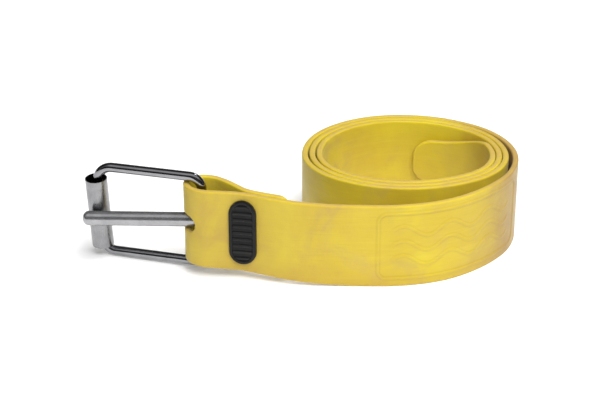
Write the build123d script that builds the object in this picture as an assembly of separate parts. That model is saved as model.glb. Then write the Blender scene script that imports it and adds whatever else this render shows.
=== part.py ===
from build123d import *
import os
from math import asin, atan2, cos, degrees, hypot, radians, sin, sqrt

# Dive weight belt: a moulded rubber strap, coiled and standing on its edge,
# whose buckle end is folded round the back bar of a steel roller buckle.
# Millimetres, +Z up. The origin is moved to the middle of the footprint at the end.

# ---------------------------------------------------------------- driving dimensions
STRAP_WIDTH = 50.0
STRAP_THICKNESS = 3.5
FOLD_WIDTH = 47.6            # the strap is a little narrower where it passes the frame
FOLD_LIFT = 7.6              # the frame stands on the floor and lifts the fold
FOLD_X = -62.0
RISE_X = 28.0                # where the buckle end starts to rise
RISE_RADIUS = 380.0
FOLD_END_RADIUS = 6.0

COIL_CENTRE = (61.0, 13.0)
COIL_TURNS = 3
FRONT_REACH, FRONT_PITCH = 47.65, 4.0
RIGHT_REACH, RIGHT_PITCH = 60.0, 3.85
BACK_REACH, BACK_PITCH = 55.05, 3.8
LEFT_REACH, LEFT_PITCH = 58.1, 4.3

TIP_ANGLE = 80.5             # how far past the right-hand side the free end reaches
TIP_SHOULDER = (80.5, 14.5)
TIP_FLANK = (96.0, 17.4)
TIP_ROOT = (111.0, 25.0)
TIP_NOSE_TRIM = 1.0          # the nose ends this far short of the last station

WIRE = 5.5
FRAME_LENGTH = 63.4          # back bar to front bar, centre to centre
FRAME_HEIGHT = 55.0          # bottom bar to top bar, centre to centre
FRAME_BEND = 6.8             # to the wire's centre; the front top corner is an easier bend
FRONT_TOP_BEND = 10.0
BACK_BAR = (-54.2, -40.0, 31.7)
FRAME_YAW, FRAME_ROLL, FRAME_LEAN = -17.5, 1.3, 3.7

ROLLER_OD, ROLLER_WALL, ROLLER_LENGTH = 12.6, 0.6, 43.2
ROLLER_DROP = -2.3
ROLLER_SLACK = 1.95

TONGUE_ROD = 8.4
TONGUE_LENGTH = 70.5
TONGUE_DROOP = 1.3
TONGUE_DROP = 0.6
TONGUE_GAP = 0.15
EYE_WALL = 2.2
EYE_CLEARANCE = 0.08
EYE_ROUND = 1.0
TONGUE_TIP_FLAT = 0.6        # radius of the small flat left on the tongue's rounded tip
SLOT_HEIGHT = 10.6
SLOT_FRONT_X, SLOT_REAR_X, SLOT_SPLIT_Y = -58.4, -47.0, -36.0
SLOT_END_FLAT = 0.6

KEEPER_WIDTH, KEEPER_HEIGHT, KEEPER_THICKNESS = 16.5, 39.4, 2.0
KEEPER_CENTRE = (-31.7, 30.0)
KEEPER_RIM, KEEPER_RECESS, RIB_PITCH = 1.6, 0.6, 4.0
BACK_PLATE_WIDTH, BACK_PLATE_HEIGHT = 12.0, 34.0
BACK_PLATE_X = -25.0
PIN_X, PIN_SPACING, PIN_DIAMETER = -27.5, 22.0, 4.0
PIN_CLEARANCE = 0.05
HEAD_OVERHANG, HEAD_HEIGHT, HEAD_ROUND = 1.2, 1.2, 0.4

HOLE_DIAMETER = 8.5
HOLE_COUNT, HOLE_FIRST, HOLE_PITCH = 6, 80.0, 30.0

HALF = STRAP_THICKNESS / 2
THROUGH = 60.0               # long enough for a cutter to pass through both layers


# ---------------------------------------------------------------- plan geometry
# A station is (x, y, heading in degrees). Each pair of stations is joined by two
# tangent arcs, so the strap's two faces are exact offsets of its centre line.
def unit(angle):
    return (cos(radians(angle)), sin(radians(angle)))


def biarc(start, end):
    """Two tangent arcs between two stations, as (point, heading) at start, joint and end."""
    (x0, y0, a0), (x1, y1, a1) = start, end
    t0, t1 = unit(a0), unit(a1)
    vx, vy = x1 - x0, y1 - y0
    sx, sy = t0[0] + t1[0], t0[1] + t1[1]
    along = vx * sx + vy * sy
    apart = 2 * (1 - (t0[0] * t1[0] + t0[1] * t1[1]))
    if apart < 1e-9:
        reach = (vx * vx + vy * vy) / (2 * along)
    else:
        reach = (-along + sqrt(along * along + apart * (vx * vx + vy * vy))) / apart
    jx = (x0 + x1 + reach * (t0[0] - t1[0])) / 2
    jy = (y0 + y1 + reach * (t0[1] - t1[1])) / 2
    chord = degrees(atan2(jy - y0, jx - x0))
    joint = 2 * chord - a0
    while joint - a0 > 180:
        joint -= 360
    while joint - a0 < -180:
        joint += 360
    return [(x0, y0, a0), (jx, jy, joint), (x1, y1, a1)]


def arc_nodes(stations):
    """The stations and the joints between them: one arc runs from each to the next."""
    nodes = [stations[0]]
    for start, end in zip(stations, stations[1:]):
        nodes += biarc(start, end)[1:]
    return nodes


def shifted(node, offset):
    """The point at a distance to the right of the centre line."""
    x, y, heading = node
    right = unit(heading - 90)
    return (x + right[0] * offset, y + right[1] * offset)


def face_line(nodes, offset):
    """One face of the strap: tangent arcs at a distance from the centre line."""
    edges = []
    for start, end in zip(nodes, nodes[1:]):
        first, last = shifted(start, offset), shifted(end, offset)
        edges.append(TangentArc(first, last, tangent=unit(start[2])))
    return edges


def band(nodes, outer, inner):
    """The flat band between two offsets of the centre line."""
    right, left = face_line(nodes, outer), face_line(nodes, inner)
    ends = [
        Line(shifted(nodes[0], outer), shifted(nodes[0], inner)),
        Line(shifted(nodes[-1], outer), shifted(nodes[-1], inner)),
    ]
    return make_face(right + left + ends)


def coil_stations():
    """Four stations a turn, each turn a pitch inside the one before."""
    cx, cy = COIL_CENTRE
    found = []
    for turn in range(COIL_TURNS):
        if turn:
            found.append((cx + RIGHT_REACH - RIGHT_PITCH * (turn - 1), cy, 90))
        found.append((cx, cy + BACK_REACH - BACK_PITCH * turn, 180))
        found.append((cx - LEFT_REACH + LEFT_PITCH * turn, cy, 270))
        found.append((cx, cy - FRONT_REACH + FRONT_PITCH * turn, 360))
    return found


def tip_stations():
    """The free end, lying inside the last turn."""
    cx, cy = COIL_CENTRE
    right = RIGHT_REACH - RIGHT_PITCH * (COIL_TURNS - 1)
    back = BACK_REACH - BACK_PITCH * COIL_TURNS
    end_x = cx + right * cos(radians(TIP_ANGLE))
    end_y = cy + back * sin(radians(TIP_ANGLE))
    slope = degrees(atan2(back * cos(radians(TIP_ANGLE)), -right * sin(radians(TIP_ANGLE))))
    return [(cx + right, cy, 90), (end_x, end_y, slope)]


FOLD_END = (-6.0, -52.3, 163)
FRONT_START = (45.0, -58.5, 360)
END_STATIONS = [
    FOLD_END,
    (-27.0, -45.9, 160),
    (-38.5, -36.8, 136),
    (-53.0, -29.0, 180),
    (-63.7, -38.8, 270),
    (-52.0, -49.0, 360),
    (-26.0, -50.9, 342),
    (8.0, -58.2, 358),
    FRONT_START,
]
OUTER_TURN = [(45.0, -58.5, 0), (90.0, -46.6, 32.5), (126.4, 11.0, 90)]

END_NODES = arc_nodes(END_STATIONS)
REAR_NODE, FRONT_NODE = 6, 10
TIP_NODES = arc_nodes(tip_stations())
COIL_NODES = arc_nodes(OUTER_TURN + coil_stations() + tip_stations()[:1])


def front_point(x):
    """The point and heading of the front layer of the fold at a given x."""
    return point_at_x(END_NODES[FRONT_NODE:], x)


def rear_point(x):
    """The point and heading of the rear layer of the fold at a given x."""
    return point_at_x(END_NODES[:REAR_NODE + 1], x)


def point_at_x(nodes, x):
    for start, end in zip(nodes, nodes[1:]):
        if min(start[0], end[0]) <= x <= max(start[0], end[0]):
            arc = TangentArc(start[:2], end[:2], tangent=unit(start[2]))
            low, high = 0.0, 1.0
            for _ in range(40):
                middle = (low + high) / 2
                if ((arc @ middle).X - x) * (end[0] - start[0]) < 0:
                    low = middle
                else:
                    high = middle
            spot, along = arc @ low, arc % low
            return spot.X, spot.Y, degrees(atan2(along.Y, along.X))
    raise ValueError("no such x on the strap")


# ---------------------------------------------------------------- strap
def side_profile():
    """The buckle end seen from the side: its edges rise and close in towards the fold."""
    run = RISE_X - FOLD_X
    far = FOLD_X - 4 * STRAP_THICKNESS
    spread = (RISE_X - far) / run
    low = FOLD_LIFT * spread
    high = STRAP_WIDTH + (FOLD_LIFT + FOLD_WIDTH - STRAP_WIDTH) * spread
    start = FRONT_START[0]
    bottom = FilletPolyline((start, 0, 0), (RISE_X, 0, 0), (far, 0, low), radius=RISE_RADIUS)
    top = FilletPolyline(
        (start, 0, STRAP_WIDTH), (RISE_X, 0, STRAP_WIDTH), (far, 0, high), radius=RISE_RADIUS
    )
    ends = [Line(bottom @ 0, top @ 0), Line(bottom @ 1, top @ 1)]
    return make_face(bottom.edges() + top.edges() + ends)


def buckle_end():
    tall = extrude(band(END_NODES, HALF, -HALF), 2 * STRAP_WIDTH)
    profile = extrude(side_profile(), 2 * STRAP_WIDTH, both=True)
    end = tall & profile
    corners = end.edges().filter_by(is_fold_corner)
    return fillet(corners, FOLD_END_RADIUS)


def is_fold_corner(edge):
    """The short edges across the thickness at the end of the folded layer."""
    centre = edge.center()
    near = hypot(centre.X - FOLD_END[0], centre.Y - FOLD_END[1]) < HALF / 2
    return near and abs(edge.length - STRAP_THICKNESS) < HALF / 8


def tip_outline():
    """The free end seen from the side: a taper that ends in a half round."""
    middle = STRAP_WIDTH / 2
    end_x = TIP_NODES[-1][0]
    sx, sh = TIP_SHOULDER
    fx, fh = TIP_FLANK
    rx, rh = TIP_ROOT
    upper = Spline((rx, 0, middle + rh), (fx, 0, middle + fh), (sx, 0, middle + sh))
    lower = Spline((rx, 0, middle - rh), (fx, 0, middle - fh), (sx, 0, middle - sh))
    nose = ThreePointArc((sx, 0, middle + sh), (end_x - TIP_NOSE_TRIM, 0, middle), (sx, 0, middle - sh))
    wide = rx + 2 * STRAP_THICKNESS
    shoulder = Polyline(
        (rx, 0, middle + rh), (wide, 0, middle + rh), (wide, 0, middle - rh), (rx, 0, middle - rh)
    )
    return make_face([upper, lower, nose] + list(shoulder.edges()))


def free_end():
    tall = extrude(band(TIP_NODES, HALF, -HALF), STRAP_WIDTH)
    return tall & extrude(tip_outline(), 2 * STRAP_WIDTH, both=True)


def tongue_hole(distance):
    """A round hole through the last turn, at a distance from the tip along the strap."""
    nodes = list(reversed(COIL_NODES[-9:] + TIP_NODES[1:]))
    for start, end in zip(nodes, nodes[1:]):
        arc = TangentArc(end[:2], start[:2], tangent=unit(end[2]))
        if distance <= arc.length:
            share = 1 - distance / arc.length
            spot, along = arc @ share, arc % share
            across = Vector(along.Y, -along.X, 0)
            centre = spot + Vector(0, 0, STRAP_WIDTH / 2)
            plane = Plane(centre, z_dir=across)
            return plane * Cylinder(HOLE_DIAMETER / 2, STRAP_THICKNESS + LEFT_PITCH - RIGHT_PITCH)
        distance -= arc.length
    raise ValueError("no such distance on the strap")


def tongue_slot():
    """The slot round the fold, from the front layer to well round the rear layer."""
    low = BACK_BAR[2] + TONGUE_DROP - SLOT_HEIGHT / 2
    front = Box(THROUGH, THROUGH, SLOT_HEIGHT, align=(Align.MAX, Align.MAX, Align.MIN))
    rear = Box(THROUGH, THROUGH, SLOT_HEIGHT, align=(Align.MAX, Align.MIN, Align.MIN))
    front = Pos(SLOT_FRONT_X, SLOT_SPLIT_Y, low) * front
    rear = Pos(SLOT_REAR_X, SLOT_SPLIT_Y, low) * rear
    cutter = front + rear
    ends = cutter.edges().filter_by(Axis.Y).group_by(Axis.X)
    inner = [edge for group in ends for edge in group if edge.center().X > SLOT_FRONT_X - 1]
    return fillet(inner, SLOT_HEIGHT / 2 - SLOT_END_FLAT)


def pin_frame():
    x, y, heading = front_point(PIN_X)
    away = unit(heading + 90)
    return Vector(x, y, KEEPER_CENTRE[1]), Vector(away[0], away[1], 0)


def pin_places():
    spot, away = pin_frame()
    return [
        Plane(spot + Vector(0, 0, side * PIN_SPACING / 2), z_dir=away) for side in (-1, 1)
    ]


def pin_reach():
    """How far a pin runs from the front layer's middle to the back plate."""
    spot, away = pin_frame()
    x, y, _ = rear_point(PIN_X)
    return (y - spot.Y) / away.Y + HALF


def make_strap():
    coil = extrude(band(COIL_NODES, HALF, -HALF), STRAP_WIDTH)
    strap = coil + buckle_end() + free_end()
    strap -= tongue_slot()
    for place in pin_places():
        strap -= place * Cylinder(PIN_DIAMETER / 2 + PIN_CLEARANCE, THROUGH)
    for number in range(HOLE_COUNT):
        strap -= tongue_hole(HOLE_FIRST + HOLE_PITCH * number)
    return strap


# ---------------------------------------------------------------- buckle
def frame_axes():
    """Directions of the frame: towards the front bar, up the bars, and out of its plane."""
    yaw, roll, lean = radians(FRAME_YAW), radians(FRAME_ROLL), radians(FRAME_LEAN)
    level = Vector(cos(yaw), sin(yaw), 0)
    back = level * cos(roll) + Vector(0, 0, sin(roll))
    upright = Vector(0, 0, cos(roll)) - level * sin(roll)
    across = back.cross(upright)
    up = upright * cos(lean) + across * sin(lean)
    return back * -1, up, back.cross(up)


OUT, UP, FACE = frame_axes()
FRAME_PLANE = Plane(Vector(*BACK_BAR), x_dir=OUT, z_dir=UP)


def make_frame():
    """A round wire bent to a rectangle with rounded corners."""
    plane = Plane(Vector(*BACK_BAR), x_dir=OUT, z_dir=FACE * -1)
    front_top = Vector(FRAME_LENGTH / 2, FRAME_HEIGHT / 2, 0)
    corners = Rectangle(FRAME_LENGTH, FRAME_HEIGHT).vertices().sort_by_distance(front_top)
    rounded = fillet(corners[1:], FRAME_BEND)
    rounded = fillet(rounded.vertices().sort_by_distance(front_top)[0], FRONT_TOP_BEND)
    path = (plane * Pos(FRAME_LENGTH / 2, 0, 0) * rounded).faces()[0].outer_wire()
    start = path @ 0
    section = Plane(start, z_dir=path % 0) * Circle(WIRE / 2)
    return sweep(section, path=path)


ROLLER_BORE = ROLLER_OD / 2 - ROLLER_WALL
ROLLER_REACH = FRAME_LENGTH + ROLLER_BORE - WIRE / 2 - ROLLER_SLACK
ROLLER_PLACE = FRAME_PLANE * Pos(ROLLER_REACH, 0, ROLLER_DROP)


def make_roller():
    """An open tube that hangs loosely on the front bar."""
    tube = Cylinder(ROLLER_OD / 2, ROLLER_LENGTH) - Cylinder(ROLLER_BORE, 2 * ROLLER_LENGTH)
    return ROLLER_PLACE * tube


def make_tongue():
    """A round rod with a rounded tip and an eye round the back bar; it rests on the roller."""
    bore = WIRE / 2 + EYE_CLEARANCE
    eye = Cylinder(bore + EYE_WALL, TONGUE_ROD)
    eye = fillet(eye.edges(), EYE_ROUND)
    stand_off = ROLLER_OD / 2 + TONGUE_ROD / 2 + TONGUE_GAP
    swing = degrees(asin(stand_off / ROLLER_REACH))
    rod = Cylinder(
        TONGUE_ROD / 2, TONGUE_LENGTH, align=(Align.CENTER, Align.CENTER, Align.MIN)
    )
    rod = fillet(rod.edges().sort_by(Axis.Z)[-1], TONGUE_ROD / 2 - TONGUE_TIP_FLAT)
    side = FRAME_PLANE.to_local_coords(Vector(*BACK_BAR) + FACE).Y
    rod = Rot(0, 90 + TONGUE_DROOP, 0) * rod
    rod = Rot(0, 0, swing * side) * rod
    tongue = (eye + rod) - Cylinder(bore, 4 * TONGUE_ROD)
    return FRAME_PLANE * Pos(0, 0, TONGUE_DROP) * tongue


# ---------------------------------------------------------------- keeper
def stadium(width, height):
    return SlotOverall(height, width, rotation=90)


def slab_on(nodes, near, far, plane, outline):
    """A plate of even thickness that follows the strap's curved face."""
    layer = extrude(band(nodes, near, far), 2 * STRAP_WIDTH)
    return layer & extrude(plane * outline, THROUGH / 2, both=True)


def make_keeper_plate():
    """The front plate: an oval that follows the strap, with a raised rim and plain ribs."""
    x, height = KEEPER_CENTRE
    px, py, heading = front_point(x)
    plane = Plane((px, py, height), x_dir=(*unit(heading), 0), z_dir=(*unit(heading - 90), 0))
    nodes = END_NODES[FRONT_NODE:]
    face = HALF + KEEPER_THICKNESS
    plate = slab_on(nodes, HALF, face, plane, stadium(KEEPER_WIDTH, KEEPER_HEIGHT))
    inner = stadium(KEEPER_WIDTH - 2 * KEEPER_RIM, KEEPER_HEIGHT - 2 * KEEPER_RIM)
    ribs = Sketch() + [
        Pos(0, RIB_PITCH * row) * Rectangle(KEEPER_WIDTH / 2, RIB_PITCH / 2)
        for row in range(-3, 4)
    ]
    recess = inner - ribs
    return plate - slab_on(nodes, face - KEEPER_RECESS, face + KEEPER_RECESS, plane, recess)


def make_back_plate():
    """The rear plate on the folded layer, which the pins are headed over."""
    px, py, heading = rear_point(BACK_PLATE_X)
    middle = KEEPER_CENTRE[1]
    plane = Plane((px, py, middle), x_dir=(*unit(heading), 0), z_dir=(*unit(heading - 90), 0))
    shape = stadium(BACK_PLATE_WIDTH, BACK_PLATE_HEIGHT)
    plate = slab_on(END_NODES[:REAR_NODE + 1], HALF, HALF + KEEPER_THICKNESS, plane, shape)
    for place in pin_places():
        plate -= place * Cylinder(PIN_DIAMETER / 2 + PIN_CLEARANCE, THROUGH)
    return plate


def make_pins():
    """Two pins from the front plate through both layers and the back plate."""
    reach = pin_reach() + KEEPER_THICKNESS
    head = Cylinder(
        PIN_DIAMETER / 2 + HEAD_OVERHANG, HEAD_HEIGHT, align=(Align.CENTER, Align.CENTER, Align.MIN)
    )
    shank = Cylinder(
        PIN_DIAMETER / 2, reach + HALF, align=(Align.CENTER, Align.CENTER, Align.MIN)
    )
    pin = Pos(0, 0, -HALF) * shank + Pos(0, 0, reach) * fillet(head.edges(), HEAD_ROUND)
    return Compound([place * pin for place in pin_places()])


# ---------------------------------------------------------------- output
PARTS = {
    "strap": make_strap(),
    "buckle_frame": make_frame(),
    "roller": make_roller(),
    "tongue": make_tongue(),
    "keeper_plate": make_keeper_plate(),
    "keeper_pins": make_pins(),
    "keeper_back_plate": make_back_plate(),
}

whole = Compound([solid for shape in PARTS.values() for solid in shape.solids()])
extent = whole.bounding_box()
centre = extent.center()
shift = Pos(-centre.X, -centre.Y, -extent.min.Z)

os.makedirs("parts", exist_ok=True)
for name, shape in PARTS.items():
    export_step(shift * shape, f"parts/{name}.step")
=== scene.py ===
import math

import bmesh
import bpy
import numpy as np
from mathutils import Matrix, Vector


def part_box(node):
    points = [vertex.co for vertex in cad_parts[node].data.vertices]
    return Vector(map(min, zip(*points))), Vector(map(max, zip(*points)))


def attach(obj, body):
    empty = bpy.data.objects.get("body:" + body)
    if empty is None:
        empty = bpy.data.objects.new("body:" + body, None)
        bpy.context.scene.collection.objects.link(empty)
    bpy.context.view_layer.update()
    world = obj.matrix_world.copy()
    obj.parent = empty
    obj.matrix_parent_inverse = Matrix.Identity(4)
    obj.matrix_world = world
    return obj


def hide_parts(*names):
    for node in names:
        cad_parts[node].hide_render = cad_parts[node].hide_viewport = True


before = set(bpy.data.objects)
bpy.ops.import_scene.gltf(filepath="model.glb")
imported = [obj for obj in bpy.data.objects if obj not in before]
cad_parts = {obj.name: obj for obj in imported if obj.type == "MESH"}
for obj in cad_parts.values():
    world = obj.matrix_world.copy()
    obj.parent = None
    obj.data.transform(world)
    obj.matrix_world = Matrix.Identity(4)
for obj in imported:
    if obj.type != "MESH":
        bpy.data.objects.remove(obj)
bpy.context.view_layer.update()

# Strap lengths below are millimetres; P() turns strap coordinates into metres.
# along: from the folded end, round the buckle, along the run and through the coil to the tip
# out:   across the thickness, positive on the outer face
# high:  up the strap's width
MM = 0.001
THICK = 3.5
HALF = THICK / 2
WIDTH = 50.0

# towards the buckle the strap rises off the floor and narrows a little, fully by FOLD_X;
# its slope begins at RISE_X + RISE_SPAN and is full from RISE_X - RISE_SPAN
FOLD_WIDTH = 47.6
FOLD_LIFT = 7.6
FOLD_X, RISE_X, RISE_SPAN = -62.0, 28.0, 16.0

# the coil: its centre, its turns, and on each side the first turn's reach and the turns' pitch
CX, CY = 61.0, 13.0
TURNS = 3
FRONT, RIGHT, BACK, LEFT = (47.65, 4.0), (60.0, 3.85), (55.05, 3.8), (58.1, 4.3)
TIP_ANGLE = 80.5             # where the free end begins, in degrees round the last turn

# x, y and heading, in degrees, of points on the centre line
FOLD_AND_RUN = [
    (-6.0, -52.3, 163.0), (-27.0, -45.9, 160.0), (-38.5, -36.8, 136.0),
    (-53.0, -29.0, 180.0), (-63.7, -38.8, 270.0), (-52.0, -49.0, 360.0),
    (-26.0, -50.9, 342.0), (8.0, -58.2, 358.0),
]
OUTER_TURN = [(45.0, -58.5, 360.0), (90.0, -46.6, 32.5), (126.4, 11.0, 90.0)]


# ---------------------------------------------------------------- the strap's centre line
def unit(angle):
    """The direction at an angle in degrees."""
    return np.array([math.cos(math.radians(angle)), math.sin(math.radians(angle))])


def wrap(angle):
    """An angle in degrees, brought between -180 and 180."""
    return (angle + 180.0) % 360.0 - 180.0


def biarc(start, end):
    """Two arcs that join two stations smoothly: the point where they meet, and the end."""
    p0, p1 = np.array(start[:2]), np.array(end[:2])
    t0, t1 = unit(start[2]), unit(end[2])
    v = p1 - p0
    along = v @ (t0 + t1)
    apart = 2.0 * (1.0 - t0 @ t1)
    if apart < 1e-9:
        reach = (v @ v) / (2.0 * along)
    else:
        reach = (-along + math.sqrt(along * along + apart * (v @ v))) / apart
    joint = (p0 + p1 + reach * (t0 - t1)) / 2.0
    chord = math.degrees(math.atan2(joint[1] - p0[1], joint[0] - p0[0]))
    return [(joint[0], joint[1], start[2] + 2.0 * wrap(chord - start[2])), end]


def stations():
    """The whole centre line's stations: four a turn, each turn a pitch inside the one before."""
    found = FOLD_AND_RUN + OUTER_TURN
    for turn in range(TURNS):
        if turn:
            found.append((CX + RIGHT[0] - RIGHT[1] * (turn - 1), CY, 90.0))
        found.append((CX, CY + BACK[0] - BACK[1] * turn, 180.0))
        found.append((CX - LEFT[0] + LEFT[1] * turn, CY, 270.0))
        found.append((CX, CY - FRONT[0] + FRONT[1] * turn, 360.0))
    right = RIGHT[0] - RIGHT[1] * (TURNS - 1)
    back = BACK[0] - BACK[1] * TURNS
    c, s = unit(TIP_ANGLE)
    found.append((CX + right, CY, 90.0))
    found.append((CX + right * c, CY + back * s, math.degrees(math.atan2(back * c, -right * s))))
    return found


def make_spine():
    """Rows of distance, length, x, y, heading and turn for each arc, and the whole length."""
    points = stations()
    nodes = [points[0]]
    for a, b in zip(points, points[1:]):
        nodes += biarc(a, b)
    rows, travelled = [], 0.0
    for a, b in zip(nodes, nodes[1:]):
        turn = math.radians(wrap(b[2] - a[2]))
        chord = math.hypot(b[0] - a[0], b[1] - a[1])
        length = chord if abs(turn) < 1e-6 else chord * (turn / 2) / math.sin(turn / 2)
        rows.append((travelled, length, a[0], a[1], math.radians(a[2]), turn))
        travelled += length
    return np.array(rows), travelled


SPINE, LENGTH = make_spine()
SHIFT_X = SHIFT_Y = 0.0
RUN_START = 185.1            # along, where the strap has come down to the floor


def P(along, out, high):
    """Strap coordinates, as arrays in millimetres, to points in metres."""
    along, out, high = np.broadcast_arrays(
        np.asarray(along, float), np.asarray(out, float), np.asarray(high, float)
    )
    row = SPINE[np.clip(np.searchsorted(SPINE[:, 0], along, side="right") - 1, 0, len(SPINE) - 1)]
    t = along - row[..., 0]
    d = row[..., 5] * t / row[..., 1]
    c = t * np.sinc(d / 2 / np.pi)
    mid = row[..., 4] + d / 2
    x = row[..., 2] + c * np.cos(mid)
    y = row[..., 3] + c * np.sin(mid)
    heading = row[..., 4] + d
    x = x + out * np.sin(heading)
    y = y - out * np.cos(heading)
    return np.stack([(x + SHIFT_X) * MM, (y + SHIFT_Y) * MM, high * MM], axis=-1)


def find_shift():
    """How far the CAD moved the strap, from its box: its right and front are arcs of the outer turn."""
    start, stop, count = 100.0, 420.0, 6401
    outer = P(np.linspace(start, stop, count), HALF, 0.0)
    low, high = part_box("strap")
    return (high.x - outer[:, 0].max()) / MM, (low.y - outer[:, 1].min()) / MM


SHIFT_X, SHIFT_Y = find_shift()


def along_at_x(x, low, high):
    """Where the centre line has a given x, between two distances along it."""
    samples = 400
    s = np.linspace(low, high, samples)
    xs = P(s, 0, 0)[:, 0] / MM - SHIFT_X
    return float(s[np.argmin(abs(xs - x))])


# ---------------------------------------------------------------- the strap's outline
FOLD_CORNER = 6.0            # corner radius of the folded end
END_ROUND = 1.1              # rounding of the two ends
EDGE_ROUND = 1.05            # rounding of the long edges
LEAST_ROUND = 0.12           # the least rounding left on the edges at an end
LEAST_HEIGHT = 2.2           # the least height of an end's section, in edge roundings

# the free end: where it starts along the strap, x of its nose, then x and half height at
# three points of its taper
TIP_START = LENGTH - (SPINE[-1, 1] + SPINE[-2, 1])
TIP_NOSE = 68.6
SHOULDER, FLANK, ROOT = (80.5, 14.5), (96.0, 17.4), (111.0, 25.0)


def half_height(x):
    """Half the width of the free end at a given x: a hollow taper, then a half round."""
    deep = SHOULDER[0] - TIP_NOSE
    radius = (deep ** 2 + SHOULDER[1] ** 2) / (2 * deep)
    inside = np.clip(radius ** 2 - (TIP_NOSE + radius - x) ** 2, 0.0, None)
    first = (FLANK[1] - SHOULDER[1]) / (FLANK[0] - SHOULDER[0])
    second = (ROOT[1] - FLANK[1]) / (ROOT[0] - FLANK[0])
    bend = (second - first) / (ROOT[0] - SHOULDER[0])
    taper = SHOULDER[1] + (x - SHOULDER[0]) * (first + bend * (x - FLANK[0]))
    taper = np.where(x > ROOT[0], ROOT[1], taper)
    return np.where(x < SHOULDER[0], np.sqrt(inside), taper)


def edges(along):
    """Lower and upper edge heights of the strap at distances along it."""
    x = P(along, 0, 0)[..., 0] / MM - SHIFT_X
    span = RISE_X - FOLD_X
    into = RISE_X + RISE_SPAN - x
    ramp = np.where(x > RISE_X - RISE_SPAN, np.clip(into, 0, None) ** 2 / (4 * RISE_SPAN), RISE_X - x)
    ramp = np.where(along > RUN_START, 0.0, ramp) / span
    low = FOLD_LIFT * ramp
    high = WIDTH + (FOLD_LIFT + FOLD_WIDTH - WIDTH) * ramp
    near = np.clip(FOLD_CORNER - along, 0, None)
    corner = FOLD_CORNER - np.sqrt(FOLD_CORNER ** 2 - near ** 2)
    half = np.where(along > TIP_START, half_height(x), WIDTH)
    low = np.maximum(low + corner, WIDTH / 2 - half)
    high = np.minimum(high - corner, WIDTH / 2 + half)
    return low, high


# ---------------------------------------------------------------- moulded relief
PANEL = (183.5, 281.0, 5.2, 45.4)        # along from and to, high from and to
PANEL_ROUND = 5.0
OUTLINE_WIDTH, OUTLINE_RISE = 0.7, 0.42
RECESS, RECESS_EDGE = 0.16, 0.35
WAVE_MARGIN, WAVE_INSET = 7.0, 11.0      # from the panel's ends, and from its long sides
WAVE_REACH = 3.2
WAVE_SWING = 6 * np.pi                   # three full waves
WAVE_FADE = 3.0
WAVE_WIDTH, WAVE_RISE = 0.8, 0.34
FLATTEST = 50.0                          # keeps the recess's exponent in range
# how strongly the relief's hollows are darkened as painted shade
CREASE_SHADE_GAIN = 9.0


def ridge(distance, width, height):
    """A rounded ridge along the line where the distance is nought."""
    return height * np.exp(-(distance / width) ** 2)


def relief(s, z):
    """Raised outline and plain waves on the outer face of the run."""
    a, b, lo, hi = PANEL
    qx = abs(s - (a + b) / 2) - (b - a) / 2 + PANEL_ROUND
    qz = abs(z - (lo + hi) / 2) - (hi - lo) / 2 + PANEL_ROUND
    corner = np.hypot(np.clip(qx, 0, None), np.clip(qz, 0, None))
    outline = corner + np.minimum(np.maximum(qx, qz), 0) - PANEL_ROUND
    found = ridge(outline, OUTLINE_WIDTH, OUTLINE_RISE)
    found = found - RECESS * (1 / (1 + np.exp(np.clip(outline / RECESS_EDGE, -FLATTEST, FLATTEST))))
    # three plain parallel waves, the same all the way across
    wave_a, wave_b = a + WAVE_MARGIN, b - WAVE_MARGIN
    swing = WAVE_SWING * np.clip((s - wave_a) / (wave_b - wave_a), 0, 1)
    slope = WAVE_REACH * WAVE_SWING / (wave_b - wave_a) * np.cos(swing)
    fade = np.clip(np.minimum(s - wave_a, wave_b - s) / WAVE_FADE, 0, 1)
    for middle in (lo + WAVE_INSET, (lo + hi) / 2, hi - WAVE_INSET):
        wave = abs(z - middle - WAVE_REACH * np.sin(swing)) / np.sqrt(1 + slope ** 2)
        found = found + fade * ridge(wave, WAVE_WIDTH, WAVE_RISE)
    return found


def crease_shade(s, z):
    """How much painted shade lies in the hollows beside the raised lines, from the relief's curvature."""
    rise = relief(s, z)
    along = np.gradient(np.gradient(rise, axis=0), axis=0)
    across = np.gradient(np.gradient(rise, axis=1), axis=1)
    return np.clip((along + across) * CREASE_SHADE_GAIN, 0.0, 1.0)


def waviness(s, z):
    """The slight unevenness of a soft moulding."""
    return (
        0.06 * np.sin(s / 17.0 + 1.3) * np.sin(z / 13.0 + 0.4)
        + 0.035 * np.sin(s / 6.1 + z / 9.0 + 2.0)
    )


# ---------------------------------------------------------------- mesh helpers
def new_object(name, verts, faces, uvs=None, material=None):
    """A mesh object, with one coordinate pair for each vertex where they are given."""
    mesh = bpy.data.meshes.new(name)
    mesh.from_pydata([tuple(v) for v in verts], [], faces)
    if uvs is not None:
        layer = mesh.uv_layers.new(name="strap")
        index = np.empty(len(mesh.loops), np.int32)
        mesh.loops.foreach_get("vertex_index", index)
        layer.data.foreach_set("uv", np.asarray(uvs, np.float32)[index].ravel())
    mesh.validate()
    obj = bpy.data.objects.new(name, mesh)
    bpy.context.scene.collection.objects.link(obj)
    if material is not None:
        mesh.materials.append(material)
    return obj


def smooth(obj, angle):
    """Smooth shading, with edges sharper than an angle in degrees left sharp."""
    obj.data.polygons.foreach_set("use_smooth", [True] * len(obj.data.polygons))
    obj.data.set_sharp_from_angle(angle=math.radians(angle))


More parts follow.
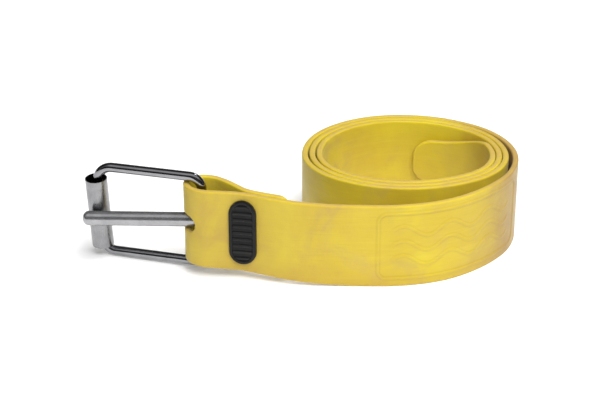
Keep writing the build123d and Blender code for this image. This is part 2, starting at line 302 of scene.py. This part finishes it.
def strap_stations():
    """Distances along the strap: close together at the fold, in the panel and at both ends."""
    def ease(n):
        return 1 - np.cos(np.linspace(0, np.pi / 2, n))
    stretches = [                                       # from, to, step
        (7.0, 22.0, 1.5),                               # the folded layer
        (22.0, 101.0, 0.7),                             # round the buckle
        (101.5, PANEL[0] - 3.0, 1.5),                   # the run
        (PANEL[0] - 2.5, PANEL[1] + 2.6, 0.36),         # the relief
        (PANEL[1] + 4.0, 400.0, 1.6),                   # the outer turn
        (401.0, TIP_START - 60.0, 2.2),                 # the coil
        (TIP_START - 60.0, LENGTH - 13.0, 1.0),         # the free end
    ]
    fold_rows, nose_rows, nose_reach = 14, 24, 12.5
    parts = [FOLD_CORNER * ease(fold_rows)]
    parts += [np.arange(*stretch) for stretch in stretches]
    parts.append(LENGTH - nose_reach * ease(nose_rows)[::-1])
    return np.unique(np.round(np.concatenate(parts), 4))


def ring_rule(rows_out, rows_in, corner):
    """The section, point by point: side, corner's reach out and up, share of the height, on the face."""
    rows = [(1, 1, 0, t, 1) for t in np.linspace(0, 1, rows_out + 1)]
    towards = [k / corner * math.pi / 2 for k in range(1, corner + 1)]
    away = [math.pi / 2 * (1 - k / corner) for k in range(corner)]
    rows += [(1, math.cos(a), math.sin(a), 1, 0) for a in towards]
    rows += [(-1, math.cos(a), math.sin(a), 1, 0) for a in away]
    rows += [(-1, 1, 0, t, 0) for t in np.linspace(1, 0, rows_in + 1)]
    rows += [(-1, math.cos(a), -math.sin(a), 0, 0) for a in towards]
    rows += [(1, math.cos(a), -math.sin(a), 0, 0) for a in away]
    return [np.array(column, float) for column in zip(*rows)]


ROWS_OUT, ROWS_IN, CORNER_STEPS = 112, 26, 4
CALM = 20.0                  # the unevenness dies away over this much of each end
CREASE_SHADE_REACH = 2.0                  # how far outside the panel the painted shade beside the raised lines is looked for


def strap_mesh(material):
    """The whole strap as one closed mesh, with rounded edges and its relief."""
    s = strap_stations()
    side, reach, rise, share, face = ring_rule(ROWS_OUT, ROWS_IN, CORNER_STEPS)
    low, high = edges(s)
    end = np.minimum(s, LENGTH - s)
    near = np.clip(END_ROUND - end, 0, END_ROUND)
    inset = END_ROUND - np.sqrt(END_ROUND ** 2 - near ** 2)
    half = HALF - inset
    rounding = np.clip(EDGE_ROUND - inset, LEAST_ROUND, None)
    low, high = low + inset, high - inset
    short = np.clip(LEAST_HEIGHT * rounding - (high - low), 0, None) / 2
    low, high = low - short, high + short
    S = np.repeat(s[:, None], len(side), axis=1)
    R = rounding[:, None]
    out = side[None, :] * (half[:, None] - R + reach[None, :] * R)
    up = (low[:, None] + R) * (1 - share[None, :]) + (high[:, None] - R) * share[None, :] + rise[None, :] * R
    raised = relief(S, up) * face[None, :]
    out = out + raised + waviness(S, up) * np.clip(end[:, None] / CALM, 0, 1)
    n, m = S.shape
    verts = P(S, out, up).reshape(-1, 3)
    # a coordinate pair for the material: along the strap and up it, in metres
    uvs = np.stack([S * MM, up * MM], -1).reshape(-1, 2)
    faces = []
    for i in range(n - 1):
        a, b = i * m, (i + 1) * m
        for j in range(m):
            k = (j + 1) % m
            faces.append((a + j, b + j, b + k, a + k))
    faces.append(tuple(range(m)))
    faces.append(tuple((n - 1) * m + j for j in reversed(range(m))))
    obj = new_object("strap_rubber", verts, faces, uvs, material)
    # painted shade in the hollows beside the raised lines, kept on the points for the material
    in_panel = (S > PANEL[0] - CREASE_SHADE_REACH) & (S < PANEL[1] + CREASE_SHADE_REACH) & (face[None, :] > 0)
    crease_shade_share = np.where(in_panel, crease_shade(S, up), 0.0).ravel()
    layer = obj.data.attributes.new("crease_shade", "FLOAT", "POINT")
    layer.data.foreach_set("value", crease_shade_share.astype(np.float32))
    return obj


def cutter_mesh(holes):
    """Rounded slots in strap coordinates, flared where they meet the two faces."""
    verts, faces, uvs = [], [], []
    flare, flare_steps, flare_power = 0.7, 4, 1.6
    beyond, spread = (0.9, 0.05), 0.5        # how far the cutter passes each face, and widens there
    end_points, spacing = 13, 0.9
    levels = [(-HALF - past, flare + past * spread) for past in beyond]      # out, growth
    for k in range(1, flare_steps + 1):
        a = k / flare_steps * math.pi / 2
        levels.append((-HALF + flare * math.sin(a), flare * (1 - math.sin(a)) ** flare_power))
    levels = levels + [(-o, g) for o, g in reversed(levels)]
    for start, stop, centre, half in holes:
        base = len(verts)
        turn = np.linspace(0, np.pi / 2, end_points)
        body = np.linspace(0, 1, max(2, int((stop - start - 2 * half) / spacing) + 2))
        for out, grow in levels:
            h = half + grow
            a, b = start - grow, stop + grow
            first = a + h * (1 - np.cos(turn))
            last = b - h * (1 - np.cos(turn[::-1]))
            mid = (a + h) + (b - a - 2 * h) * body[1:-1]
            long = b - a > 2 * h + 1e-6
            s = np.concatenate([first, mid, last] if long else [first, last[1:]])
            t = np.clip(np.minimum(s - a, b - s), 0, h)
            height = np.sqrt(np.clip(h ** 2 - (h - t) ** 2, 0, None))
            ring_s = np.concatenate([s, s[1:-1][::-1]])
            ring_z = np.concatenate([centre + height, (centre - height)[1:-1][::-1]])
            verts += [tuple(v) for v in P(ring_s, out, ring_z)]
            uvs += [(u * MM, v * MM) for u, v in zip(ring_s, ring_z)]
        k, size = len(s), len(ring_s)        # the same at every level
        for level in range(len(levels) - 1):
            a, b = base + level * size, base + (level + 1) * size
            for j in range(size):
                n = (j + 1) % size
                faces.append((a + j, a + n, b + n, b + j))
        for level, flip in ((0, True), (len(levels) - 1, False)):
            o = base + level * size
            for j in range(k - 1):
                top0, top1 = o + j, o + j + 1
                low0 = o + (size - j) % size if j else o
                low1 = o + size - j - 1 if j + 1 < k - 1 else o + k - 1
                quad = [top0, top1, low1, low0]
                quad = [v for i, v in enumerate(quad) if v not in quad[:i]]
                faces.append(tuple(reversed(quad)) if flip else tuple(quad))
    return new_object("cutter", verts, faces, uvs)


def cut(obj, cutter):
    """Take the cutter out of the object's mesh, and remove the cutter."""
    for o in (obj, cutter):
        fix_normals(o)
    mod = obj.modifiers.new("holes", "BOOLEAN")
    mod.operation = "DIFFERENCE"
    mod.object = cutter
    mod.solver = "MANIFOLD"
    dg = bpy.context.evaluated_depsgraph_get()
    mesh = bpy.data.meshes.new_from_object(obj.evaluated_get(dg))
    obj.modifiers.clear()
    obj.data = mesh
    mesh.name = obj.name
    bpy.data.objects.remove(cutter)


def fix_normals(obj):
    """Turn the mesh's faces to point outwards."""
    bm = bmesh.new()
    bm.from_mesh(obj.data)
    bmesh.ops.recalc_face_normals(bm, faces=bm.faces)
    bm.to_mesh(obj.data)
    bm.free()


# ---------------------------------------------------------------- keeper plate
KEEPER_ALONG = along_at_x(-31.7, 100.0, 125.0)
KEEPER_HIGH = 30.0
KEEPER_SUNK = 0.3            # how far its back lies under the strap's face


def keeper_mesh(material):
    """An oval plate with a rounded rim and plain ribs, following the strap's face."""
    wide, tall, thick = 16.5, 39.4, 2.0
    radius = wide / 2
    straight = (tall - wide) / 2
    rim, recess, rib_pitch, edge = 1.6, 0.75, 4.0, 0.8
    rib_height, rib_sharpness, rib_end, rib_end_edge = 0.85, 1.6, 0.55, 0.12
    wall, wall_edge = 0.25, 0.09             # the recess's wall, inside the rim
    cap_rows, straight_rows, columns = 26, 117, 57
    nip = 0.01                               # keeps the end rows from closing to a point
    cap = radius * np.sin(np.linspace(0, np.pi / 2, cap_rows))
    middle = np.linspace(-straight, straight, straight_rows)[1:-1]
    z = np.concatenate([-(straight + cap[::-1]), middle, straight + cap])
    z[0], z[-1] = z[0] + nip, z[-1] - nip
    t = np.sin(np.linspace(-np.pi / 2, np.pi / 2, columns))
    beyond = np.clip(abs(z) - straight, 0, None)
    half = np.sqrt(np.clip(radius ** 2 - beyond ** 2, 0, None))
    x = half[:, None] * t[None, :]
    up = np.repeat(z[:, None], len(t), axis=1)
    inset = radius - np.hypot(x, np.clip(abs(up) - straight, 0, None))
    near = np.clip(edge - inset, 0, edge)
    top = thick - edge + np.sqrt(edge ** 2 - near ** 2)
    sunk = 1 / (1 + np.exp(-(inset - rim - wall) / wall_edge))
    rib = np.clip(np.cos(2 * np.pi * up / rib_pitch) * rib_sharpness, 0, 1)
    rib = rib * (1 / (1 + np.exp((rib_end - inset + rim) / rib_end_edge)))
    top = top - sunk * recess * (1 - rib_height * rib)
    n, m = x.shape
    front = P(KEEPER_ALONG + x, HALF + top, KEEPER_HIGH + up).reshape(-1, 3)
    back = P(KEEPER_ALONG + x, HALF - KEEPER_SUNK, KEEPER_HIGH + up).reshape(-1, 3)
    verts = np.concatenate([front, back])
    faces, size = [], n * m
    for i in range(n - 1):
        for j in range(m - 1):
            a = i * m + j
            faces.append((a, a + 1, a + m + 1, a + m))
            faces.append((size + a, size + a + m, size + a + m + 1, size + a + 1))
    border = list(range(m)) + [i * m + m - 1 for i in range(1, n)]
    border += [(n - 1) * m + j for j in range(m - 2, -1, -1)] + [i * m for i in range(n - 2, 0, -1)]
    for a, b in zip(border, border[1:] + border[:1]):
        faces.append((b, a, size + a, size + b))
    obj = new_object("keeper_oval", verts, faces, None, material)
    fix_normals(obj)
    return obj


# ---------------------------------------------------------------- materials
class Nodes:
    """A short way to write a node tree."""

    def __init__(self, name):
        self.material = bpy.data.materials.new(name)
        self.material.use_nodes = True
        self.tree = self.material.node_tree
        self.shader = self.tree.nodes["Principled BSDF"]

    def add(self, kind, **inputs):
        node = self.tree.nodes.new(kind)
        for key, value in inputs.items():
            self.set(node, key, value)
        return node

    def set(self, node, key, value):
        """Set or link a socket by name or, as i0, by number. A key with p_ is a property of the node."""
        if key.startswith("p_"):
            setattr(node, key[2:], value)
            return
        numbered = key[0] == "i" and key[1:].isdigit()
        self.put(node.inputs[int(key[1:]) if numbered else key.replace("_", " ")], value)

    def put(self, socket, value):
        """Link an output to a socket, or give the socket a value."""
        if isinstance(value, bpy.types.NodeSocket):
            self.tree.links.new(value, socket)
        else:
            socket.default_value = value

    def noise(self, vector, scale, detail=3.0, rough=0.55, distortion=0.0):
        node = self.add(
            "ShaderNodeTexNoise", Vector=vector, Scale=scale,
            Detail=detail, Roughness=rough, Distortion=distortion,
        )
        return node.outputs[0]

    def scaled(self, vector, scale):
        return self.add("ShaderNodeMapping", Vector=vector, Scale=scale).outputs[0]

    def ramp(self, value, low, high, to_low=0.0, to_high=1.0):
        node = self.add(
            "ShaderNodeMapRange", Value=value,
            From_Min=low, From_Max=high, To_Min=to_low, To_Max=to_high,
        )
        node.interpolation_type = "SMOOTHSTEP"
        return node.outputs[0]

    def mix(self, share, a, b):
        node = self.tree.nodes.new("ShaderNodeMix")
        node.data_type = "RGBA"
        for number, value in ((0, share), (6, a), (7, b)):       # the colour sockets are 6 and 7
            self.put(node.inputs[number], value)
        return node.outputs[2]

    def math(self, operation, a, b=0.0):
        return self.add("ShaderNodeMath", i0=a, i1=b, p_operation=operation).outputs[0]

    def bump(self, height, strength, distance, normal=None):
        node = self.add("ShaderNodeBump", Height=height, Strength=strength, Distance=distance)
        if normal is not None:
            self.tree.links.new(normal, node.inputs["Normal"])
        return node.outputs[0]

    def finish(self, **inputs):
        """Set the shader's sockets, and give back the material."""
        for key, value in inputs.items():
            self.set(self.shader, key, value)
        return self.material


def colour(r, g, b):
    """A linear colour from 0 to 255 sRGB values."""
    def lin(v):
        v /= 255.0
        return v / 12.92 if v <= 0.04045 else ((v + 0.055) / 1.055) ** 2.4
    return (lin(r), lin(g), lin(b), 1.0)


def rubber():
    """Yellow rubber: mottled and streaked, darker towards the foot, with painted shade at the fold, at the
    outer turn's bend, in the hollows beside the relief and, together with wear, on the rims.
    """
    n = Nodes("yellow_rubber")
    lemon, mustard, faded = colour(207, 187, 42), colour(194, 168, 46), colour(184, 154, 80)
    greyed, pale, scuffed = colour(166, 138, 90), colour(212, 194, 66), colour(154, 128, 58)
    # a tone for the lower edge, then painted shade tones for the fold and the outer turn's bend
    foot_tone, fold_shade_tone, turn_shade_tone = colour(178, 146, 46), colour(172, 143, 60), colour(158, 126, 72)
    # a painted shade tone for the relief's hollows, and a tone for the rims that is painted shade together
    # with wear
    crease_shade_tone, rim_shade_and_wear_tone = colour(146, 116, 48), colour(186, 157, 84)

    # mottling in the object's own space, and streaks along the strap
    place = n.add("ShaderNodeTexCoord")
    obj, uv = place.outputs["Object"], place.outputs["UV"]
    broad = n.noise(obj, 16.0, 3.0, 0.6, 0.6)
    patch = n.noise(obj, 38.0, 4.0, 0.6, 0.8)
    streak = n.noise(n.scaled(uv, (14.0, 260.0, 1.0)), 1.0, 3.0, 0.6)
    fine = n.noise(n.scaled(uv, (70.0, 1500.0, 1.0)), 1.0, 2.0, 0.5)
    base = n.mix(n.ramp(broad, 0.35, 0.68), lemon, mustard)
    base = n.mix(n.math("MULTIPLY", n.ramp(patch, 0.50, 0.74), 0.50), base, faded)
    tint = n.noise(obj, 24.0, 3.0, 0.6, 1.2)
    base = n.mix(n.math("MULTIPLY", n.ramp(tint, 0.56, 0.76), 0.40), base, greyed)
    base = n.mix(n.math("MULTIPLY", n.ramp(streak, 0.48, 0.8), 0.30), base, pale)
    base = n.mix(n.math("MULTIPLY", n.ramp(fine, 0.5, 0.8), 0.18), base, scuffed)

    # the lower edge, by height up the strap in metres
    high = n.add("ShaderNodeSeparateXYZ", Vector=uv).outputs[1]
    foot = n.ramp(n.math("ADD", high, n.math("MULTIPLY", patch, 0.012)), 0.006, 0.022, 0.55, 0.0)
    base = n.mix(foot, base, foot_tone)

    # painted shade at the fold and at the outer turn's bend, by distance along the strap in metres
    run = n.add("ShaderNodeSeparateXYZ", Vector=uv).outputs[0]
    turn_shade = n.math("MULTIPLY", n.ramp(run, 0.236, 0.278), n.ramp(run, 0.31, 0.42, 1.0, 0.0))
    fold_shade = n.math("MULTIPLY", n.ramp(run, 0.066, 0.078), n.ramp(run, 0.10, 0.185, 1.0, 0.0))
    # the fold: painted shade, patchy
    bend_shade = n.math("MULTIPLY", fold_shade, n.ramp(patch, 0.25, 0.75, 0.35, 0.75))
    base = n.mix(bend_shade, base, fold_shade_tone)
    # the outer turn's bend: painted shade, patchy
    bend_shade = n.math("MULTIPLY", turn_shade, n.ramp(patch, 0.25, 0.75, 0.65, 0.95))
    base = n.mix(bend_shade, base, turn_shade_tone)

    # painted shade in the hollows beside the relief, and painted shade together with wear on the upper and
    # lower rims
    crease_shade_share = n.add("ShaderNodeAttribute", p_attribute_name="crease_shade").outputs["Fac"]
    base = n.mix(n.math("MULTIPLY", crease_shade_share, 0.30), base, crease_shade_tone)
    # the rims: painted shade where the surface faces straight up or down, together with wear, in patches
    geometry = n.add("ShaderNodeNewGeometry")
    up = n.add("ShaderNodeSeparateXYZ", Vector=geometry.outputs["Normal"]).outputs[2]
    rim = n.ramp(n.math("ABSOLUTE", up), 0.80, 0.99)
    rim = n.math("MULTIPLY", rim, n.ramp(n.noise(obj, 60.0, 3.0), 0.3, 0.7, 0.35, 0.85))
    base = n.mix(rim, base, rim_shade_and_wear_tone)

    # fine grain over soft lumps
    grain = n.noise(obj, 1400.0, 2.0, 0.5)
    lump = n.noise(obj, 120.0, 3.0, 0.5)
    normal = n.bump(lump, 0.10, 0.004)
    normal = n.bump(grain, 0.12, 0.0006, normal)
    rough = n.ramp(n.noise(obj, 45.0, 3.0), 0.3, 0.7, 0.46, 0.60)
    return n.finish(
        Base_Color=base, Roughness=rough, Normal=normal, Specular_IOR_Level=0.42,
        Sheen_Weight=0.08, Sheen_Roughness=0.45, Sheen_Tint=(0.75, 0.78, 0.9, 1.0),
        Subsurface_Weight=0.06, Subsurface_Radius=(0.004, 0.0025, 0.0008), Subsurface_Scale=1.0,
    )


def steel(name, tint, rough_low, rough_high, stretch, brushed, metal=1.0):
    """Steel with smears and fine lines; stretch sets which way the lines run."""
    n = Nodes(name)
    obj = n.add("ShaderNodeTexCoord").outputs["Object"]
    dulled, scratched = [v * 0.93 for v in tint], [v * 0.82 for v in tint]
    smear = n.noise(obj, 90.0, 3.0, 0.6, 0.4)
    lines = n.noise(n.scaled(obj, stretch), 1.0, 3.0, 0.6)
    shade = n.mix(n.ramp(smear, 0.35, 0.7), colour(*tint), colour(*dulled))
    shade = n.mix(n.math("MULTIPLY", n.ramp(lines, 0.5, 0.8), 0.25), shade, colour(*scratched))
    uneven = n.math("ADD", n.math("MULTIPLY", lines, 0.6), n.math("MULTIPLY", smear, 0.4))
    rough = n.ramp(uneven, 0.35, 0.7, rough_low, rough_high)
    normal = n.bump(lines, brushed, 0.0004)
    return n.finish(Base_Color=shade, Metallic=metal, Roughness=rough, Normal=normal)


def black_plastic():
    """Black moulding with a fine grain, paler on worn edges."""
    n = Nodes("black_plastic")
    obj = n.add("ShaderNodeTexCoord").outputs["Object"]
    smear = n.noise(obj, 150.0, 3.0, 0.6)
    grain = n.noise(obj, 2600.0, 2.0, 0.5)
    base = n.mix(n.ramp(smear, 0.35, 0.7), colour(8, 8, 9), colour(15, 15, 17))
    geometry = n.add("ShaderNodeNewGeometry")
    worn = n.ramp(geometry.outputs["Pointiness"], 0.505, 0.56)
    base = n.mix(n.math("MULTIPLY", worn, 0.5), base, colour(58, 57, 55))
    rough = n.ramp(smear, 0.3, 0.7, 0.46, 0.62)
    normal = n.bump(grain, 0.18, 0.0004)
    return n.finish(Base_Color=base, Roughness=rough, Normal=normal, Specular_IOR_Level=0.3)


def floor_material():
    """Plain white, with a little light of its own so that it shows as white."""
    n = Nodes("floor")
    obj = n.add("ShaderNodeTexCoord").outputs["Object"]
    base = n.mix(n.ramp(n.noise(obj, 3.0), 0.3, 0.7), (0.86, 0.86, 0.86, 1), (0.88, 0.88, 0.88, 1))
    return n.finish(
        Base_Color=base, Roughness=0.9, Specular_IOR_Level=0.1,
        Emission_Color=(1.0, 1.0, 1.0, 1.0), Emission_Strength=0.22,
    )


# ---------------------------------------------------------------- build
SLOT_CENTRE, SLOT_HALF = 32.3, 5.3
SLOT_REAR_X, SLOT_FRONT_X = -47.0, -58.4
HOLES, FIRST_HOLE, HOLE_PITCH, HOLE_RADIUS = 6, 80.0, 30.0, 4.25

yellow = rubber()
black = black_plastic()
# name, tint, least and most roughness, stretch, depth of the lines, metallic
polished = steel("polished_steel", (150, 150, 153), 0.09, 0.18, (60.0, 60.0, 900.0), 0.05)
brushed = steel("brushed_steel", (168, 168, 170), 0.16, 0.24, (60.0, 60.0, 900.0), 0.03, 0.8)
satin = steel("satin_steel", (150, 150, 152), 0.24, 0.34, (1500.0, 1500.0, 120.0), 0.10)
pin_steel = steel("pin_steel", (196, 196, 196), 0.2, 0.34, (900.0, 900.0, 900.0), 0.08)

strap = strap_mesh(yellow)
slot_start = along_at_x(SLOT_REAR_X, 40.0, 53.0)         # in the folded layer
slot_stop = along_at_x(SLOT_FRONT_X, 72.0, 86.0)         # in the front layer
holes = [(slot_start, slot_stop, SLOT_CENTRE, SLOT_HALF)]
for number in range(HOLES):
    middle = LENGTH - FIRST_HOLE - HOLE_PITCH * number
    holes.append((middle - HOLE_RADIUS, middle + HOLE_RADIUS, WIDTH / 2, HOLE_RADIUS))
cut(strap, cutter_mesh(holes))
smooth(strap, 50.0)
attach(strap, "belt")
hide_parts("strap")

keeper = keeper_mesh(black)
smooth(keeper, 60.0)
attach(keeper, "belt")
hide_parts("keeper_plate")

looks = {
    "buckle_frame": polished,
    "tongue": brushed,
    "roller": satin,
    "keeper_pins": pin_steel,
    "keeper_back_plate": black,
}
for node, look in looks.items():
    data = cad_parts[node].data
    data.materials.clear()
    data.materials.append(look)

# ---------------------------------------------------------------- stage, light, camera
FLOOR_REACH = 4.0
FLOOR_DROP = 0.00005         # keeps the floor from sharing a plane with the strap's lower edge
CORNERS = [(-1, -1), (1, -1), (1, 1), (-1, 1)]
floor_mesh = bpy.data.meshes.new("floor")
floor_mesh.from_pydata([(FLOOR_REACH * x, FLOOR_REACH * y, 0) for x, y in CORNERS], [], [(0, 1, 2, 3)])
floor_mesh.materials.append(floor_material())
floor = bpy.data.objects.new("floor", floor_mesh)
bpy.context.scene.collection.objects.link(floor)
floor.location = (0, 0, -FLOOR_DROP)

# the world's brightness goes by the angle round the X axis, from the front horizon over the top
# to the back, and fades towards the two ends of that axis
SKY = ((0, 0.22), (8, 0.07), (46, 0.06), (56, 0.75), (88, 0.75), (100, 0.06), (158, 0.06), (172, 0.45))
SKY_FADE = (0.50, 0.80, 1.0, 0.25)       # from and to along X, with the brightness at each
HALF_TURN = 180.0

world = bpy.data.worlds.new("studio")
bpy.context.scene.world = world
world.use_nodes = True
tree = world.node_tree


def world_math(operation, first, second=None):
    """A math node on a socket, and on a second socket or number."""
    node = tree.nodes.new("ShaderNodeMath")
    node.operation = operation
    tree.links.new(first, node.inputs[0])
    if isinstance(second, bpy.types.NodeSocket):
        tree.links.new(second, node.inputs[1])
    elif second is not None:
        node.inputs[1].default_value = second
    return node.outputs[0]


background = tree.nodes["Background"]
direction = tree.nodes.new("ShaderNodeTexCoord")
split = tree.nodes.new("ShaderNodeSeparateXYZ")
tree.links.new(direction.outputs["Generated"], split.inputs[0])
front = world_math("MULTIPLY", split.outputs[1], -1.0)
turn = world_math("ARCTAN2", split.outputs[2], front)
share = world_math("DIVIDE", turn, math.pi)
ramp = tree.nodes.new("ShaderNodeValToRGB")
tree.links.new(share, ramp.inputs[0])
tree.links.new(ramp.outputs[0], background.inputs[0])
stops = ramp.color_ramp.elements
for angle, level in SKY[1:-1]:
    stops.new(angle / HALF_TURN)
for stop, (angle, level) in zip(stops, SKY):
    stop.position = angle / HALF_TURN
    stop.color = (level, level, level * 1.01, 1.0)
fade = tree.nodes.new("ShaderNodeMapRange")
fade.interpolation_type = "SMOOTHSTEP"
for socket, value in zip(fade.inputs[1:5], SKY_FADE):
    socket.default_value = value
tree.links.new(world_math("ABSOLUTE", split.outputs[0]), fade.inputs[0])
tree.links.new(fade.outputs[0], background.inputs[1])


def area(name, place, aim, size, power, glossy=False):
    """An area light; unless it is glossy, it doesn't show as a patch in the steel."""
    light = bpy.data.lights.new(name, "AREA")
    light.shape = "RECTANGLE"
    light.size, light.size_y = size
    light.energy = power
    obj = bpy.data.objects.new(name, light)
    obj.location = place
    obj.rotation_mode = "QUATERNION"
    obj.rotation_quaternion = (Vector(aim) - Vector(place)).to_track_quat("-Z", "Y")
    obj.visible_glossy = glossy
    bpy.context.scene.collection.objects.link(obj)


# name, place, aim, size, power
area("key", (0.26, -0.90, 1.10), (0.02, 0.0, 0.02), (0.8, 0.5), 13.0)
area("fill", (0.05, -1.45, 0.60), (0.0, 0.0, 0.03), (0.5, 0.3), 2.0)
area("top", (0.32, -0.22, 1.28), (0.03, 0.0, 0.0), (0.9, 0.5), 13.0)
area("glint", (0.45, 0.75, 1.10), (0.0, 0.0, 0.03), (0.22, 0.22), 1.6, glossy=True)

SENSOR, LENS, CLIP = 36.0, 102.0, 20.0
PITCH, DISTANCE = math.radians(26.0), 1.0
AIM = Vector((SHIFT_X * MM, SHIFT_Y * MM, WIDTH / 2 * MM))

camera_data = bpy.data.cameras.new("camera")
camera_data.sensor_width = SENSOR
camera_data.lens = LENS
camera_data.clip_end = CLIP
camera = bpy.data.objects.new("camera", camera_data)
bpy.context.scene.collection.objects.link(camera)
camera.location = AIM + DISTANCE * Vector((0.0, -math.cos(PITCH), math.sin(PITCH)))
camera.rotation_mode = "QUATERNION"
camera.rotation_quaternion = (AIM - camera.location).to_track_quat("-Z", "Y")
bpy.context.scene.camera = camera
bpy.context.scene.view_settings.view_transform = "Standard"
